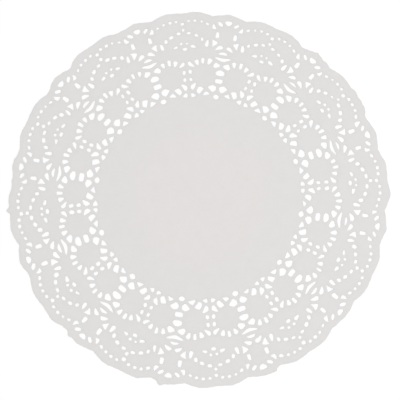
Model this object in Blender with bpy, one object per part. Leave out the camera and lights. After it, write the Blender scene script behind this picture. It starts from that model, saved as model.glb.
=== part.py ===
"""Round lace doily, die-cut from one sheet, lying flat.

The sheet lies on the XY plane and its underside is z = 0. The lace repeats
twelve times around the origin. Each repeat is a spray of holes, mirrored about
its own spray axis, and a spray axis runs along +X. The larger holes of the lace
are cut through the sheet. The lace is charted on squared paper, so the tables
give sizes in squares of that chart. Turns are in degrees, counterclockwise seen
from above.
"""

from collections import namedtuple
from math import cos, pi, radians, sin

import bmesh
import bpy

MM = 0.001
DIAMETER = 203.0 * MM
SHEET_THICKNESS = 1.0 * MM
FULL_TURN = 360.0
REPEATS = 12
REPEAT_TURN = FULL_TURN / REPEATS
EDGE_POINTS_PER_REPEAT = 24

PAPER_COLOUR = (0.76, 0.745, 0.735, 1.0)
PAPER_ROUGHNESS = 0.85
PAPER_METALLIC = 0.0

# The scalloped edge over half a repeat: from a small crest on the spray axis
# into a valley, up to a wide crest, and into a shallow dip between two sprays.
# A flank with a high power leaves its crest slowly.
EdgeFlank = namedtuple("EdgeFlank", "crest_turn crest_radius foot_turn foot_radius power")
EDGE_FLANKS = (
    EdgeFlank(0.0, 150.8, 5.4, 147.9, 1.0),
    EdgeFlank(10.5, 151.3, 5.4, 147.9, 1.45),
    EdgeFlank(10.5, 151.3, 15.0, 150.5, 1.4),
)
# The diameter is taken over the wide crests.
SQUARE = DIAMETER / (2 * EDGE_FLANKS[1].crest_radius)

# The edge was cut a little off the middle of the lace, and a little oval. Each
# swell is a slow wave around the doily: how many peaks it has, the turn of the
# first, and its reach, outward at a peak and inward between two.
Swell = namedtuple("Swell", "peaks first_peak reach")
EDGE_SWELLS = (
    Swell(1, 142.0, 0.2),
    Swell(2, 42.0, 0.15),
)

# Nibs and flats that the blunt die left along the edge: where each one's
# middle is, how far it stands out or in, and how wide it is to either side.
EdgeFlaw = namedtuple("EdgeFlaw", "turn rise half_width")
EDGE_FLAWS = (
    EdgeFlaw(10.4, 1.1, 3.2),
    EdgeFlaw(22.6, -0.6, 2.2),
    EdgeFlaw(37.8, 0.8, 2.0),
    EdgeFlaw(44.0, 1.2, 1.8),
    EdgeFlaw(55.8, 0.8, 2.0),
    EdgeFlaw(60.4, 0.8, 0.9),
    EdgeFlaw(64.5, -0.8, 3.2),
    EdgeFlaw(125.0, 0.9, 1.5),
    EdgeFlaw(144.4, -0.9, 3.0),
    EdgeFlaw(154.2, -0.7, 2.6),
    EdgeFlaw(178.1, 0.6, 1.2),
    EdgeFlaw(185.0, 1.6, 1.8),
    EdgeFlaw(193.8, 2.5, 1.2),
    EdgeFlaw(204.9, -0.7, 1.4),
    EdgeFlaw(214.0, -0.7, 2.4),
    EdgeFlaw(232.9, -0.8, 1.4),
    EdgeFlaw(236.6, 1.9, 1.3),
    EdgeFlaw(260.8, 0.8, 1.2),
    EdgeFlaw(267.8, 2.8, 1.7),
    EdgeFlaw(302.3, 1.4, 2.4),
    EdgeFlaw(303.2, 0.9, 0.7),
    EdgeFlaw(329.6, -1.0, 4.2),
    EdgeFlaw(359.2, 0.6, 1.4),
)

# The shapes of the holes, as corners in a box from -1 to 1. The first number
# runs away from the spray axis and the second toward the edge of the doily.
PUNCHES = {
    "bar": ((1, 1), (-1, 1), (-1, -0.6), (-0.6, -1), (0.6, -1), (1, -0.6)),
    "bow": ((1, 1), (0, 0.5), (-1, 1), (-0.88, 0), (-0.2, -1), (0.2, -1), (0.88, 0)),
    "delta": ((-1, 0.35), (0.9, 1), (0.7, -1)),
    "dome": ((1, -1), (0.9, 0.35), (0, 1), (-0.9, 0.35), (-1, -1)),
    "fan": ((1, 0.5), (0.5, 1), (-0.5, 1), (-1, 0.5), (-0.3, -1), (0.3, -1)),
    "kite": ((1, 0.3), (-0.05, 1), (-1, 0.6), (-1, -0.25), (-0.3, -1)),
    "leaf": ((-1, 0.35), (-0.4, 1), (0.2, 0.55), (1, -1), (-0.85, -0.42)),
    "lens": ((1, 0), (0, 1), (-1, 0), (0, -1)),
    "shard": ((-1, 0.6), (0.35, 1), (1, -0.3), (0.2, -1)),
    "shell": ((-1, -0.3), (-0.95, 0.3), (0.35, 1), (1, -0.4), (0.4, -1)),
    "wing": ((-1, 0.8), (-0.6, 1), (1, 0.2), (0.6, -1), (0, -1)),
}
# How much of each side a rounded corner takes away.
CORNER_SHARE = 0.3

# The larger holes of one repeat: the punch, the turn of its middle from the
# spray axis, the radius of its middle, and its size around and outward. A hole
# off the spray axis has a mirror image on the other side.
Hole = namedtuple("Hole", "punch turn radius around outward")
HOLES = (
    Hole("lens", 0.0, 82.4, 4.7, 3.8),
    Hole("kite", 2.87, 88.65, 6.2, 5.5),
    Hole("shard", 9.15, 86.8, 5.3, 5.6),
    Hole("wing", 12.7, 89.8, 4.4, 5.3),
    Hole("bar", 0.0, 95.2, 6.3, 3.6),
    Hole("dome", 0.0, 102.2, 7.2, 4.4),
    Hole("shell", 2.25, 107.9, 5.7, 4.7),
    Hole("bow", 0.0, 113.1, 13.2, 2.8),
    Hole("leaf", 1.98, 122.45, 5.8, 4.0),
    Hole("delta", 3.93, 125.95, 4.2, 5.4),
    Hole("fan", 0.0, 143.55, 5.7, 3.6),
)


def turned(x, y, turn):
    """The point (x, y) turned about the origin."""
    c = cos(radians(turn))
    s = sin(radians(turn))
    return (c * x - s * y, s * x + c * y)


def lobe_radius(turn):
    """Radius of the even scallops at a turn from +X."""
    fold = abs((turn + REPEAT_TURN / 2) % REPEAT_TURN - REPEAT_TURN / 2)
    flank = next(f for f in EDGE_FLANKS if fold <= max(f.crest_turn, f.foot_turn))
    share = (fold - flank.crest_turn) / (flank.foot_turn - flank.crest_turn)
    return flank.crest_radius - (flank.crest_radius - flank.foot_radius) * share ** flank.power


def swell_rise(turn):
    """How far the swells move the edge outward at a turn from +X."""
    return sum(swell.reach * cos(radians(swell.peaks * (turn - swell.first_peak))) for swell in EDGE_SWELLS)


def flaw_rise(turn):
    """How far the flaws move the edge outward at a turn from +X."""
    rise = 0.0
    for flaw in EDGE_FLAWS:
        past = (turn - flaw.turn + FULL_TURN / 2) % FULL_TURN - FULL_TURN / 2
        away = abs(past) / flaw.half_width
        if away < 1.0:
            rise += flaw.rise * (1.0 + cos(pi * away)) / 2
    return rise


def edge_loop():
    """Points around the outer edge, in metres."""
    count = REPEATS * EDGE_POINTS_PER_REPEAT
    loop = []
    for step in range(count):
        turn = FULL_TURN * step / count
        radius = (lobe_radius(turn) + swell_rise(turn) + flaw_rise(turn)) * SQUARE
        loop.append(turned(radius, 0.0, turn))
    return loop


def punch_shape(punch):
    """A punch's corners, each cut off by a short side, filling the box from -1 to 1."""
    corners = PUNCHES[punch]
    points = []
    for before, corner, after in zip(corners[-1:] + corners[:-1], corners, corners[1:] + corners[:1]):
        for neighbour in (before, after):
            points.append([c + (n - c) * CORNER_SHARE for c, n in zip(corner, neighbour)])
    for axis in (0, 1):
        low = min(point[axis] for point in points)
        high = max(point[axis] for point in points)
        for point in points:
            point[axis] = (2 * point[axis] - low - high) / (high - low)
    return points


def hole_loop(hole, side, spray_turn):
    """Points around one hole, in metres. Side is 1, or -1 for the mirror image."""
    loop = []
    for across, out in punch_shape(hole.punch):
        x = (hole.radius + out * hole.outward / 2) * SQUARE
        y = across * hole.around / 2 * SQUARE
        x, y = turned(x, y, hole.turn)
        loop.append(turned(x, side * y, spray_turn))
    return loop


def all_loops():
    """The outer edge and every hole."""
    loops = [edge_loop()]
    for repeat in range(REPEATS):
        for hole in HOLES:
            sides = (1, -1) if hole.turn > 0 else (1,)
            for side in sides:
                loops.append(hole_loop(hole, side, repeat * REPEAT_TURN))
    return loops


def paper_material():
    """Matt white paper."""
    material = bpy.data.materials.new("paper")
    material.use_nodes = True
    shader = material.node_tree.nodes["Principled BSDF"]
    shader.inputs["Base Color"].default_value = PAPER_COLOUR
    shader.inputs["Roughness"].default_value = PAPER_ROUGHNESS
    shader.inputs["Metallic"].default_value = PAPER_METALLIC
    return material


def sheet_object(name, loops, thickness, material):
    """A flat sheet with its underside on z = 0, bounded by the loops."""
    bm = bmesh.new()
    for loop in loops:
        verts = [bm.verts.new((x, y, 0.0)) for x, y in loop]
        for first, second in zip(verts, verts[1:] + verts[:1]):
            bm.edges.new((first, second))
    bmesh.ops.triangle_fill(bm, use_beauty=True, edges=bm.edges[:])
    raised = bmesh.ops.extrude_face_region(bm, geom=bm.faces[:], use_keep_orig=True)
    top = [item for item in raised["geom"] if isinstance(item, bmesh.types.BMVert)]
    bmesh.ops.translate(bm, verts=top, vec=(0.0, 0.0, thickness))
    bmesh.ops.recalc_face_normals(bm, faces=bm.faces[:])
    mesh = bpy.data.meshes.new(name)
    bm.to_mesh(mesh)
    bm.free()
    mesh.materials.append(material)
    sheet = bpy.data.objects.new(name, mesh)
    bpy.context.scene.collection.objects.link(sheet)
    return sheet


for old in list(bpy.data.objects):
    bpy.data.objects.remove(old, do_unlink=True)
sheet_object("doily", all_loops(), SHEET_THICKNESS, paper_material())
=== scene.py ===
"""Looks of the round paper lace doily, die-cut from one sheet and lying flat.

The sheet is made in the part's frame: its underside lies on z = 0, the lace
repeats twelve times around the origin, and a spray axis runs along +X. The lace
is charted on squared paper, so the tables give sizes in squares of that chart.
Turns are in degrees, counterclockwise seen from above.
"""

from collections import namedtuple
from math import copysign, cos, hypot, pi, radians, sin, sqrt
from random import Random

import bpy
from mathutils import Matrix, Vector, kdtree, noise
from mathutils.geometry import delaunay_2d_cdt


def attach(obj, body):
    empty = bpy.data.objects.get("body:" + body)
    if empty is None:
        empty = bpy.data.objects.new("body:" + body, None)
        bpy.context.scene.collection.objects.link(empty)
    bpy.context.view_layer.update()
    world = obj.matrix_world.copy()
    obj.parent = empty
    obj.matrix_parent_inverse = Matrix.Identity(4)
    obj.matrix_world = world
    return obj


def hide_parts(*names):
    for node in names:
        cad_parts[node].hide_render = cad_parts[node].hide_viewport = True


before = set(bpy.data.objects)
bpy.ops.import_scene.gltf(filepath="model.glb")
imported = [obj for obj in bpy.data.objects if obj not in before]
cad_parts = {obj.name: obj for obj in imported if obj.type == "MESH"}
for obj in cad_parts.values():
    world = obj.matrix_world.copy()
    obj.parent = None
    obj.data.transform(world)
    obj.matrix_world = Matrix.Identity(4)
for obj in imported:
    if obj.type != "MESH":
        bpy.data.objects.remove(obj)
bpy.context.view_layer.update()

MM = 0.001
FULL_TURN = 360.0

# ---------------------------------------------------------------- the lace

DIAMETER = 203.0 * MM
REPEATS = 12
REPEAT_TURN = FULL_TURN / REPEATS
EDGE_POINTS_PER_REPEAT = 120

# The scalloped edge over half a repeat: from a small crest on the spray axis
# into a valley, up to a wide crest, and into a shallow dip between two sprays.
# A flank with a high power leaves its crest slowly.
EdgeFlank = namedtuple("EdgeFlank", "crest_turn crest_radius foot_turn foot_radius power")
EDGE_FLANKS = (
    EdgeFlank(0.0, 150.8, 5.4, 147.9, 1.0),
    EdgeFlank(10.5, 151.3, 5.4, 147.9, 1.45),
    EdgeFlank(10.5, 151.3, 15.0, 150.5, 1.4),
)
# The diameter is taken over the wide crests.
SQUARE = DIAMETER / (2 * EDGE_FLANKS[1].crest_radius)

# A swell is a slow wave around the doily: how many peaks it has, the turn of
# the first, and its reach, outward at a peak and inward between two.
Swell = namedtuple("Swell", "peaks first_peak reach")
# The edge was cut a little off the middle of the lace, and a little oval.
EDGE_SWELLS = (
    Swell(1, 142.0, 0.2),
    Swell(2, 42.0, 0.15),
)

# Nibs and flats that the blunt die left along the edge: where each one's
# middle is, how far it stands out or in, and how wide it is to either side. A
# nib with a sharp corner has a second, narrow row.
EdgeFlaw = namedtuple("EdgeFlaw", "turn rise half_width")
EDGE_FLAWS = (
    EdgeFlaw(10.4, 1.1, 3.2),
    EdgeFlaw(22.6, -0.6, 2.2),
    EdgeFlaw(37.8, 0.8, 2.0),
    EdgeFlaw(44.0, 1.2, 1.8),
    EdgeFlaw(55.8, 0.8, 2.0),
    EdgeFlaw(60.4, 0.8, 0.9),
    EdgeFlaw(64.5, -0.8, 3.2),
    EdgeFlaw(125.0, 0.9, 1.5),
    EdgeFlaw(144.4, -0.9, 3.0),
    EdgeFlaw(154.2, -0.7, 2.6),
    EdgeFlaw(178.1, 0.6, 1.2),
    EdgeFlaw(185.0, 1.6, 1.8),
    EdgeFlaw(193.8, 2.5, 1.2),
    EdgeFlaw(204.9, -0.7, 1.4),
    EdgeFlaw(214.0, -0.7, 2.4),
    EdgeFlaw(232.9, -0.8, 1.4),
    EdgeFlaw(236.6, 1.9, 1.3),
    EdgeFlaw(260.8, 0.8, 1.2),
    EdgeFlaw(267.8, 2.8, 1.7),
    EdgeFlaw(302.3, 1.4, 2.4),
    EdgeFlaw(303.2, 0.9, 0.7),
    EdgeFlaw(329.6, -1.0, 4.2),
    EdgeFlaw(359.2, 0.6, 1.4),
)
# The small unevenness of the torn fibres between the flaws.
TREMOR_SPAN = 2.5 * MM
TREMOR_REACH = 0.25 * MM

# The shapes of the holes, as corners in a box from -1 to 1. The first number
# runs away from the spray axis and the second toward the edge of the doily.
# Each corner is rounded over a share of its sides, in a few steps.
Punch = namedtuple("Punch", "share steps corners")
PUNCHES = {
    "bar": Punch(0.36, 3, ((1, 1), (-1, 1), (-1, -0.6), (-0.6, -1), (0.6, -1), (1, -0.6))),
    "bow": Punch(
        0.36,
        4,
        ((0.75, 1), (0, 0.6), (-0.75, 1), (-1, 0.7), (-0.88, 0.2))
        + ((-0.2, -1), (0.2, -1), (0.88, 0.2), (1, 0.7)),
    ),
    "brow": Punch(
        0.36,
        4,
        ((1, -0.5), (0.65, 0.45), (0.2, 1), (-0.2, 1), (-0.65, 0.45), (-1, -0.5), (-0.7, -0.9), (0.7, -0.9)),
    ),
    "corner": Punch(0.36, 4, ((-1, -0.25), (0.2, 1), (1, 0.9), (0.95, -0.9), (0.2, -1))),
    "delta": Punch(0.32, 5, ((-1, 0.35), (0.95, 1), (0.6, 0.1), (0.7, -1))),
    "dome": Punch(0.5, 4, ((1, -1), (1, 0.3), (0, 1), (-1, 0.3), (-1, -1))),
    "drop": Punch(0.36, 3, ((0.5, 1), (-0.5, 1), (-1, -0.5), (-0.5, -1), (0.5, -1), (1, -0.5))),
    "fan": Punch(0.5, 3, ((1, 0.5), (0.5, 1), (-0.5, 1), (-1, 0.5), (-0.35, -1), (0.35, -1))),
    "gable": Punch(0.36, 4, ((1, -1), (0.1, 1), (-0.1, 1), (-1, -1))),
    "kite": Punch(0.3, 4, ((1, 0.3), (-0.05, 1), (-1, 0.6), (-1, -0.25), (-0.3, -1))),
    "leaf": Punch(0.36, 5, ((-1, 0.5), (-0.45, 1), (1, -1), (-0.8, -0.4))),
    "lens": Punch(0.5, 5, ((1, 0), (0, 1), (-1, 0), (0, -1))),
    "oval": Punch(0.5, 4, ((1, 1), (-1, 1), (-1, -1), (1, -1))),
    "plume": Punch(
        0.36,
        4,
        ((-1, 0.35), (-0.4, 1), (0.3, 0.65), (0.97, -0.5), (1, -1), (0.2, -0.7), (-0.85, -0.3)),
    ),
    "sail": Punch(0.36, 4, ((-1, -0.8), (-0.2, 0.02), (0.45, 1), (1, 0.1), (0.8, -1))),
    "shard": Punch(0.36, 4, ((-1, 0.5), (0.35, 1), (1, -0.3), (0.2, -1), (-0.6, 0))),
    "shell": Punch(0.36, 4, ((-1, -0.3), (-0.95, 0.3), (0.35, 1), (1, -0.4), (0.4, -1))),
    "slant": Punch(0.36, 4, ((-1, 0.4), (0.3, 1), (0.95, 0.55), (0.9, -1), (0.15, -1))),
    "slot": Punch(0.36, 4, ((0.7, 1), (-0.8, 1), (-1, -1), (1, -1))),
    "wedge": Punch(0.36, 4, ((1, 1), (-1, 1), (-0.7, -1), (0.7, -1))),
    "wing": Punch(0.36, 4, ((-1, 0.8), (-0.6, 1), (0.9, 0.4), (1, -0.3), (0.6, -1), (0, -1))),
}

# The holes of one repeat: the punch, the turn of its middle from the spray
# axis, the radius of its middle, its size around and outward, and its tilt,
# which raises the end that points away from the spray axis. A negative size
# around is a punch laid the other way. A hole off both axes of the repeat has a
# mirror image on the other side.
Hole = namedtuple("Hole", "punch turn radius around outward tilt")
HOLES = (
    # two rows along the plain middle
    Hole("lens", 0.0, 82.4, 4.7, 3.8, 0),
    Hole("gable", 5.9, 84.6, 5.3, 3.1, -14),
    Hole("corner", 12.9, 82.9, 3.6, 3.2, 0),
    Hole("kite", 2.87, 88.65, 6.2, 5.5, 0),
    Hole("shard", 9.15, 86.8, 5.3, 5.6, 0),
    Hole("wing", 12.7, 89.8, 4.4, 5.3, 0),
    # between the plain rounds
    Hole("bar", 0.0, 95.2, 6.3, 3.6, 0),
    Hole("dome", 0.0, 102.2, 7.2, 4.4, 0),
    Hole("oval", 13.5, 95.9, 2.4, 3.1, -10),
    Hole("oval", 13.55, 102.0, 2.5, 3.4, -10),
    # the arches over the plain rounds
    Hole("shell", 2.25, 107.9, 5.7, 4.7, 0),
    Hole("slant", 5.12, 110.65, 3.2, 4.6, 0),
    Hole("wedge", 8.0, 111.3, 2.4, 4.6, 0),
    Hole("slant", 10.65, 109.85, -3.3, 4.4, 0),
    Hole("leaf", 13.03, 107.95, -4.9, 4.5, 0),
    # the foot of the spray
    Hole("bow", 0.0, 113.1, 13.2, 2.8, 0),
    Hole("brow", 0.0, 118.2, 7.2, 2.0, 0),
    Hole("plume", 1.98, 122.45, 5.8, 4.0, 0),
    Hole("delta", 3.93, 125.95, 4.5, 5.6, 0),
    Hole("drop", 6.6, 125.4, 2.7, 5.5, 12),
    # the garland from spray to spray
    Hole("oval", 8.45, 129.0, 2.6, 3.3, -10),
    Hole("oval", 10.63, 132.1, 3.4, 2.4, 24),
    Hole("oval", 13.2, 134.1, 3.2, 2.0, 4),
    Hole("oval", 15.0, 137.0, 2.3, 2.3, 0),
    Hole("oval", 15.0, 141.85, 2.8, 2.5, 0),
    # the small flower under the garland
    Hole("oval", 15.0, 120.95, 3.6, 2.4, 0),
    Hole("oval", 13.9, 125.5, 2.0, 1.9, 0),
    Hole("drop", 11.7, 122.95, 2.2, 3.9, 106),
    # the head of the spray
    Hole("fan", 0.0, 143.55, 5.7, 3.6, 0),
    Hole("slot", 3.15, 133.05, 2.9, 4.9, 0),
    Hole("sail", 4.43, 139.9, 3.5, 4.3, 0),
    Hole("oval", 2.62, 142.1, 4.8, 2.4, 36),
    # the pinholes along the edge
    Hole("oval", 6.8, 141.5, 2.8, 1.8, 29),
    Hole("oval", 8.85, 143.4, 2.0, 1.9, 0),
    Hole("oval", 10.95, 144.15, 2.5, 2.1, -6),
    Hole("oval", 13.0, 144.1, 2.4, 2.0, 14),
)

# The blunt die moved every edge of a hole outward, by a bite that swells around
# the doily. It swells most on the small holes, whose size around times outward
# is under a limit.
BITE = 0.15 * MM
BITE_SWELLS = (Swell(1, 217.0, 0.039 * MM),)
SMALL_HOLE_LIMIT = 9.0
SMALL_BITE_SWELLS = (
    Swell(1, 250.0, 0.060 * MM),
    Swell(2, 10.0, 0.048 * MM),
)
# Spread of each hole's own slip and growth on top of that, from worn pins.
HOLE_SLIP = 0.10 * MM
HOLE_GROWTH = 0.06 * MM
HOLE_SEED = 5


def turned(x, y, turn):
    """The point (x, y) turned about the origin."""
    c = cos(radians(turn))
    s = sin(radians(turn))
    return (c * x - s * y, s * x + c * y)


def lobe_radius(turn):
    """Radius of the even scallops at a turn from +X."""
    fold = abs((turn + REPEAT_TURN / 2) % REPEAT_TURN - REPEAT_TURN / 2)
    flank = next(f for f in EDGE_FLANKS if fold <= max(f.crest_turn, f.foot_turn))
    share = (fold - flank.crest_turn) / (flank.foot_turn - flank.crest_turn)
    return flank.crest_radius - (flank.crest_radius - flank.foot_radius) * share**flank.power


def swelled(swells, turn):
    """The sum of the swells at a turn from +X."""
    return sum(swell.reach * cos(radians(swell.peaks * (turn - swell.first_peak))) for swell in swells)


def flaw_rise(turn):
    """How far the flaws move the edge outward at a turn from +X."""
    rise = 0.0
    for flaw in EDGE_FLAWS:
        past = (turn - flaw.turn + FULL_TURN / 2) % FULL_TURN - FULL_TURN / 2
        away = abs(past) / flaw.half_width
        if away < 1.0:
            rise += flaw.rise * (1.0 + cos(pi * away)) / 2
    return rise


def edge_loop(inset):
    """Points around the outer edge, in metres, or that far inside it."""
    count = REPEATS * EDGE_POINTS_PER_REPEAT
    loop = []
    for step in range(count):
        turn = FULL_TURN * step / count
        radius = lobe_radius(turn) + swelled(EDGE_SWELLS, turn) + flaw_rise(turn)
        x, y = turned(radius * SQUARE, 0.0, turn)
        tremor = noise.noise(Vector((x, y, 0.0)) / TREMOR_SPAN) * TREMOR_REACH
        loop.append(turned(radius * SQUARE + tremor - inset, 0.0, turn))
    return loop


def punch_shape(name):
    """Points around a punch, its corners rounded, filling the box from -1 to 1."""
    punch = PUNCHES[name]
    corners = punch.corners
    points = []
    for before, corner, after in zip(corners[-1:] + corners[:-1], corners, corners[1:] + corners[:1]):
        for step in range(punch.steps):
            t = (step + 0.5) / punch.steps
            near = punch.share * (1 - t) ** 2
            far = punch.share * t**2
            points.append([c + (b - c) * near + (a - c) * far for b, c, a in zip(before, corner, after)])
    for axis in (0, 1):
        low = min(point[axis] for point in points)
        high = max(point[axis] for point in points)
        for point in points:
            point[axis] = (2 * point[axis] - low - high) / (high - low)
    return points


def hole_loop(hole, side, spray_turn, slip, growth):
    """Points around one hole, in metres, its edges moved out by the growth."""
    half_around = copysign(abs(hole.around) * SQUARE / 2 + growth, hole.around)
    half_outward = hole.outward * SQUARE / 2 + growth
    loop = []
    for across, out in punch_shape(hole.punch):
        across, out = turned(across * half_around, out * half_outward, hole.tilt)
        x, y = turned(hole.radius * SQUARE + out, across, hole.turn)
        loop.append(turned(x + slip[0], side * y + slip[1], spray_turn))
    return loop


# ---------------------------------------------------------------- the sheet

PAPER_THICKNESS = 0.12 * MM
# The die pressed the paper down along each cut.
ROLL_WIDTH = 0.35 * MM
ROLL_DEPTH = 0.04 * MM
# The sheet waves slightly over the table: by how much at most, and how widely.
LIFT = 0.15 * MM
LIFT_SPAN = 28.0 * MM
# Spacing of the points between the cuts, in the lace and in the plain middle.
LACE_SPACING = 1.8 * MM
MIDDLE_SPACING = 4.0 * MM
MIDDLE_RADIUS = 50.0 * MM
# Points nearer to each other than this would become one.
MERGE_DISTANCE = 1e-9
# Blender's number for keeping only the triangles that the outer cut encloses.
ENCLOSED_TRIANGLES = 1
SHARP_ANGLE = radians(45)
# The point attribute that says where shade is painted along the cuts: 1 at every cut and at the points a
# roll's width inside it, fading to none at the points between.
PAINTED_SHADE_ATTRIBUTE = "painted_rim_shade"


def cut_loops():
    """The outer edge, every hole, and the points where the pressed rims begin."""
    rng = Random(HOLE_SEED)
    loops = [edge_loop(0.0)]
    rims = edge_loop(ROLL_WIDTH)
    for repeat in range(REPEATS):
        spray_turn = repeat * REPEAT_TURN
        for hole in HOLES:
            sides = (1, -1) if 0 < hole.turn < REPEAT_TURN / 2 else (1,)
            small = abs(hole.around * hole.outward) < SMALL_HOLE_LIMIT
            swells = SMALL_BITE_SWELLS if small else BITE_SWELLS
            for side in sides:
                bite = BITE + swelled(swells, spray_turn + side * hole.turn)
                slip = (rng.gauss(0, HOLE_SLIP), rng.gauss(0, HOLE_SLIP))
                growth = rng.gauss(0, HOLE_GROWTH) + bite
                loops.append(hole_loop(hole, side, spray_turn, slip, growth))
                rims += hole_loop(hole, side, spray_turn, slip, growth + ROLL_WIDTH)
    return loops, rims


def inside(loop, x, y):
    """Whether a point lies in a loop: a ray from it crosses the loop an odd number of times."""
    odd = False
    for (ax, ay), (bx, by) in zip(loop, loop[1:] + loop[:1]):
        if (ay > y) != (by > y) and x < ax + (bx - ax) * (y - ay) / (by - ay):
            odd = not odd
    return odd


def filling_points(loops, rims):
    """Points in rows between the cuts, clear of the rims and the holes."""
    tree = kdtree.KDTree(len(rims))
    for index, (x, y) in enumerate(rims):
        tree.insert((x, y, 0.0), index)
    tree.balance()
    centres = kdtree.KDTree(len(loops) - 1)
    for index, loop in enumerate(loops[1:], start=1):
        x = sum(point[0] for point in loop) / len(loop)
        y = sum(point[1] for point in loop) / len(loop)
        centres.insert((x, y, 0.0), index)
    centres.balance()
    points = []
    for spacing, low, high in (
        (MIDDLE_SPACING, 0.0, MIDDLE_RADIUS),
        (LACE_SPACING, MIDDLE_RADIUS, DIAMETER / 2),
    ):
        row_height = spacing * sqrt(3) / 2
        rows = int(high / row_height) + 1
        columns = int(high / spacing) + 1
        for row in range(-rows, rows + 1):
            for column in range(-columns, columns + 1):
                x = (column + row % 2 / 2) * spacing
                y = row * row_height
                if not low <= hypot(x, y) < high or not inside(loops[0], x, y):
                    continue
                if tree.find((x, y, 0.0))[2] < spacing / 2:
                    continue
                nearest = loops[centres.find((x, y, 0.0))[1]]
                if not inside(nearest, x, y):
                    points.append((x, y))
    return points


def sheet_faces(loops, points):
    """The sheet laid flat in triangles: its points, its triangles, and how many points the cuts have.

    The points of the cuts come first.
    """
    coords = []
    cuts = []
    owner = []
    for number, loop in enumerate(loops):
        first = len(coords)
        coords += loop
        owner += [number] * len(loop)
        cuts += [(first + i, first + (i + 1) % len(loop)) for i in range(len(loop))]
    coords += points
    owner += [None] * len(points)
    flat = [Vector(c) for c in coords]
    found = delaunay_2d_cdt(flat, cuts, [], ENCLOSED_TRIANGLES, MERGE_DISTANCE)
    triangles = []
    for face in found[2]:
        number = owner[face[0]]
        # A triangle with all its corners on one hole may lie inside that hole.
        if number and all(owner[i] == number for i in face):
            x = sum(coords[i][0] for i in face) / len(face)
            y = sum(coords[i][1] for i in face) / len(face)
            if inside(loops[number], x, y):
                continue
        triangles.append(tuple(face))
    return coords, triangles, len(cuts)


def lift(x, y):
    """How far the sheet lies above the table."""
    wave = noise.noise(Vector((x, y, 0.0)) / LIFT_SPAN)
    return LIFT * (1 + wave) / 2


def lace_sheet(material):
    """The whole doily as one closed sheet of paper."""
    loops, rims = cut_loops()
    coords, triangles, cut_count = sheet_faces(loops, rims + filling_points(loops, rims))
    count = len(coords)
    painted_shade_count = cut_count + len(rims)
    top = []
    bottom = []
    for index, (x, y) in enumerate(coords):
        z = lift(x, y)
        roll = ROLL_DEPTH if index < cut_count else 0.0
        top.append((x, y, z + PAPER_THICKNESS - roll))
        bottom.append((x, y, z))
    faces = list(triangles)
    faces += [(c + count, b + count, a + count) for a, b, c in triangles]
    directed = {(a, b) for face in triangles for a, b in zip(face, face[1:] + face[:1])}
    for a, b in sorted(directed):
        if (b, a) not in directed:
            faces.append((b, a, a + count, b + count))
    mesh = bpy.data.meshes.new("lace_sheet")
    mesh.from_pydata(top + bottom, [], faces)
    mesh.validate()
    # Shade is painted along every cut, on the top and the underside alike: the cut points and those a roll's
    # width in are marked full.
    painted_rim_shade = mesh.attributes.new(PAINTED_SHADE_ATTRIBUTE, "FLOAT", "POINT")
    for index in range(painted_shade_count):
        painted_rim_shade.data[index].value = 1.0
        painted_rim_shade.data[index + count].value = 1.0
    mesh.shade_smooth()
    mesh.set_sharp_from_angle(angle=SHARP_ANGLE)
    mesh.materials.append(material)
    sheet = bpy.data.objects.new("lace_sheet", mesh)
    bpy.context.scene.collection.objects.link(sheet)
    return sheet


# ---------------------------------------------------------------- the paper

# The plain middle is a shade rosier and lighter than the lace around it.
MIDDLE_COLOUR = (0.7413, 0.7153, 0.7090, 1.0)
LACE_COLOUR = (0.7285, 0.7178, 0.7060, 1.0)
MIDDLE_TONE_END = 22.0 * MM
LACE_TONE_START = 52.0 * MM
# What the thicker clouds in the paper take off the colour, and the shade painted along every cut, on the top
# and the underside.
CLOUD_SHADE = (0.973, 0.970, 0.968, 1.0)
RIM_PAINTED_SHADE = (0.987, 0.987, 0.987, 1.0)
PAPER_ROUGHNESS_LOW = 0.82
PAPER_ROUGHNESS_HIGH = 0.95
PAPER_SPECULAR = 0.25
# Sizes of the cloudy mottling and of the fibres.
CLOUD_SIZE = 10.0 * MM
CLOUD_DETAIL = 5.0
CLOUD_ROUGHNESS = 0.9
CLOUD_DISTORTION = 0.0
# Levels of the cloud noise where the mottling begins and where it is full.
CLOUD_LEVELS = (0.35, 0.65)
FIBRE_SIZE = 0.35 * MM
FIBRE_DETAIL = 3.0
FIBRE_ROUGHNESS = 0.5
FIBRE_DISTORTION = 1.5
FIBRE_RELIEF = 0.02 * MM
FIBRE_RELIEF_STRENGTH = 0.5


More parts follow.
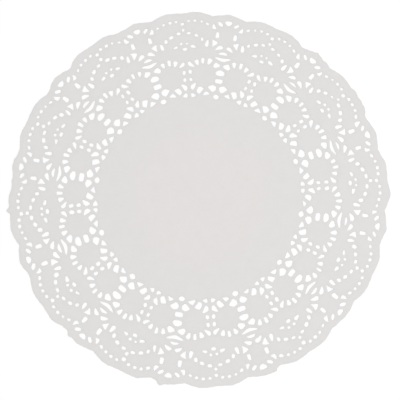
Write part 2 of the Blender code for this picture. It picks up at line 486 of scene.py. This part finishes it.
def paper_material():
    """Matt white paper: cloudy, with shade painted along the cuts, and fibrous at a third of a millimetre.
    """
    material = bpy.data.materials.new("paper_looks")
    material.use_nodes = True
    nodes = material.node_tree.nodes
    links = material.node_tree.links
    shader = nodes["Principled BSDF"]
    shader.inputs["Specular IOR Level"].default_value = PAPER_SPECULAR
    place = nodes.new("ShaderNodeTexCoord")

    def noise_texture(size, detail, roughness, distortion):
        texture = nodes.new("ShaderNodeTexNoise")
        texture.inputs["Scale"].default_value = 1 / size
        texture.inputs["Detail"].default_value = detail
        texture.inputs["Roughness"].default_value = roughness
        texture.inputs["Distortion"].default_value = distortion
        links.new(place.outputs["Object"], texture.inputs["Vector"])
        return texture.outputs["Fac"]

    def span(value, low, high, to_low=0.0, to_high=1.0):
        remap = nodes.new("ShaderNodeMapRange")
        remap.inputs["From Min"].default_value = low
        remap.inputs["From Max"].default_value = high
        remap.inputs["To Min"].default_value = to_low
        remap.inputs["To Max"].default_value = to_high
        links.new(value, remap.inputs["Value"])
        return remap.outputs["Result"]

    def shaded(colour, factor, shade):
        mix = nodes.new("ShaderNodeMix")
        mix.data_type = "RGBA"
        mix.blend_type = "MULTIPLY"
        mix.inputs["B"].default_value = shade
        links.new(factor, mix.inputs["Factor"])
        links.new(colour, mix.inputs["A"])
        return mix.outputs["Result"]

    out = nodes.new("ShaderNodeVectorMath")
    out.operation = "LENGTH"
    links.new(place.outputs["Object"], out.inputs[0])
    tone = nodes.new("ShaderNodeMix")
    tone.data_type = "RGBA"
    tone.inputs["A"].default_value = MIDDLE_COLOUR
    tone.inputs["B"].default_value = LACE_COLOUR
    links.new(span(out.outputs["Value"], MIDDLE_TONE_END, LACE_TONE_START), tone.inputs["Factor"])

    cloud = noise_texture(CLOUD_SIZE, CLOUD_DETAIL, CLOUD_ROUGHNESS, CLOUD_DISTORTION)
    colour = shaded(tone.outputs["Result"], span(cloud, *CLOUD_LEVELS), CLOUD_SHADE)
    # Painted shade: the colour darkens toward every cut.
    painted_rim_shade = nodes.new("ShaderNodeAttribute")
    painted_rim_shade.attribute_name = PAINTED_SHADE_ATTRIBUTE
    colour = shaded(colour, painted_rim_shade.outputs["Fac"], RIM_PAINTED_SHADE)
    links.new(colour, shader.inputs["Base Color"])

    fibre = noise_texture(FIBRE_SIZE, FIBRE_DETAIL, FIBRE_ROUGHNESS, FIBRE_DISTORTION)
    matt = span(fibre, 0.0, 1.0, PAPER_ROUGHNESS_LOW, PAPER_ROUGHNESS_HIGH)
    links.new(matt, shader.inputs["Roughness"])
    relief = nodes.new("ShaderNodeBump")
    relief.inputs["Strength"].default_value = FIBRE_RELIEF_STRENGTH
    relief.inputs["Distance"].default_value = FIBRE_RELIEF
    links.new(fibre, relief.inputs["Height"])
    links.new(relief.outputs["Normal"], shader.inputs["Normal"])
    return material


# ---------------------------------------------------------------- the studio

FLOOR_SIZE = 6.0
FLOOR_DROP = 0.02 * MM
FLOOR_COLOUR = (0.98, 0.98, 0.98, 1.0)
FLOOR_ROUGHNESS = 1.0
FLOOR_SPECULAR = 0.0
SKY_COLOUR = (1.0, 1.0, 1.0, 1.0)
SKY_STRENGTH = 0.911
SOFTBOX_SIZE = 0.8
SOFTBOX_PLACE = (0.75, 0.11, 0.9)
SOFTBOX_POWER = 2.75


def floor():
    """A plain pale table top."""
    half = FLOOR_SIZE / 2
    mesh = bpy.data.meshes.new("floor")
    corners = [(-half, -half), (half, -half), (half, half), (-half, half)]
    mesh.from_pydata([(x, y, -FLOOR_DROP) for x, y in corners], [], [(0, 1, 2, 3)])
    material = bpy.data.materials.new("floor_looks")
    material.use_nodes = True
    shader = material.node_tree.nodes["Principled BSDF"]
    shader.inputs["Base Color"].default_value = FLOOR_COLOUR
    shader.inputs["Roughness"].default_value = FLOOR_ROUGHNESS
    shader.inputs["Specular IOR Level"].default_value = FLOOR_SPECULAR
    mesh.materials.append(material)
    plane = bpy.data.objects.new("floor", mesh)
    bpy.context.scene.collection.objects.link(plane)


def soft_light():
    """An even white sky with one large softbox at the image's right."""
    world = bpy.data.worlds.new("sky")
    world.use_nodes = True
    background = world.node_tree.nodes["Background"]
    background.inputs["Color"].default_value = SKY_COLOUR
    background.inputs["Strength"].default_value = SKY_STRENGTH
    bpy.context.scene.world = world
    light = bpy.data.lights.new("softbox", "AREA")
    light.size = SOFTBOX_SIZE
    light.energy = SOFTBOX_POWER
    softbox = bpy.data.objects.new("softbox", light)
    softbox.location = SOFTBOX_PLACE
    softbox.rotation_euler = (-Vector(SOFTBOX_PLACE)).to_track_quat("-Z", "Y").to_euler()
    bpy.context.scene.collection.objects.link(softbox)


CAMERA_AZIMUTH = 9.59
CAMERA_ELEVATION = 81.35
CAMERA_DISTANCE = 0.9016
CAMERA_LENS_MM = 152.05
SENSOR_MM = 36.0
# The camera's shift, as shares of the frame. It puts the doily's middle a little
# left of and above the frame's centre.
CAMERA_SHIFT = (0.0021, -0.0077)


def photo_camera():
    """A long lens, nearly straight above."""
    azimuth = radians(CAMERA_AZIMUTH)
    elevation = radians(CAMERA_ELEVATION)
    lens = bpy.data.cameras.new("camera")
    lens.lens = CAMERA_LENS_MM
    lens.sensor_width = SENSOR_MM
    lens.shift_x, lens.shift_y = CAMERA_SHIFT
    camera = bpy.data.objects.new("camera", lens)
    out = cos(elevation) * CAMERA_DISTANCE
    camera.location = (sin(azimuth) * out, -cos(azimuth) * out, sin(elevation) * CAMERA_DISTANCE)
    camera.rotation_euler = (pi / 2 - elevation, 0.0, azimuth)
    bpy.context.scene.collection.objects.link(camera)
    bpy.context.scene.camera = camera


bpy.context.scene.view_settings.view_transform = "Standard"
floor()
soft_light()
photo_camera()

lace = lace_sheet(paper_material())
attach(lace, "root")
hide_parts("doily")
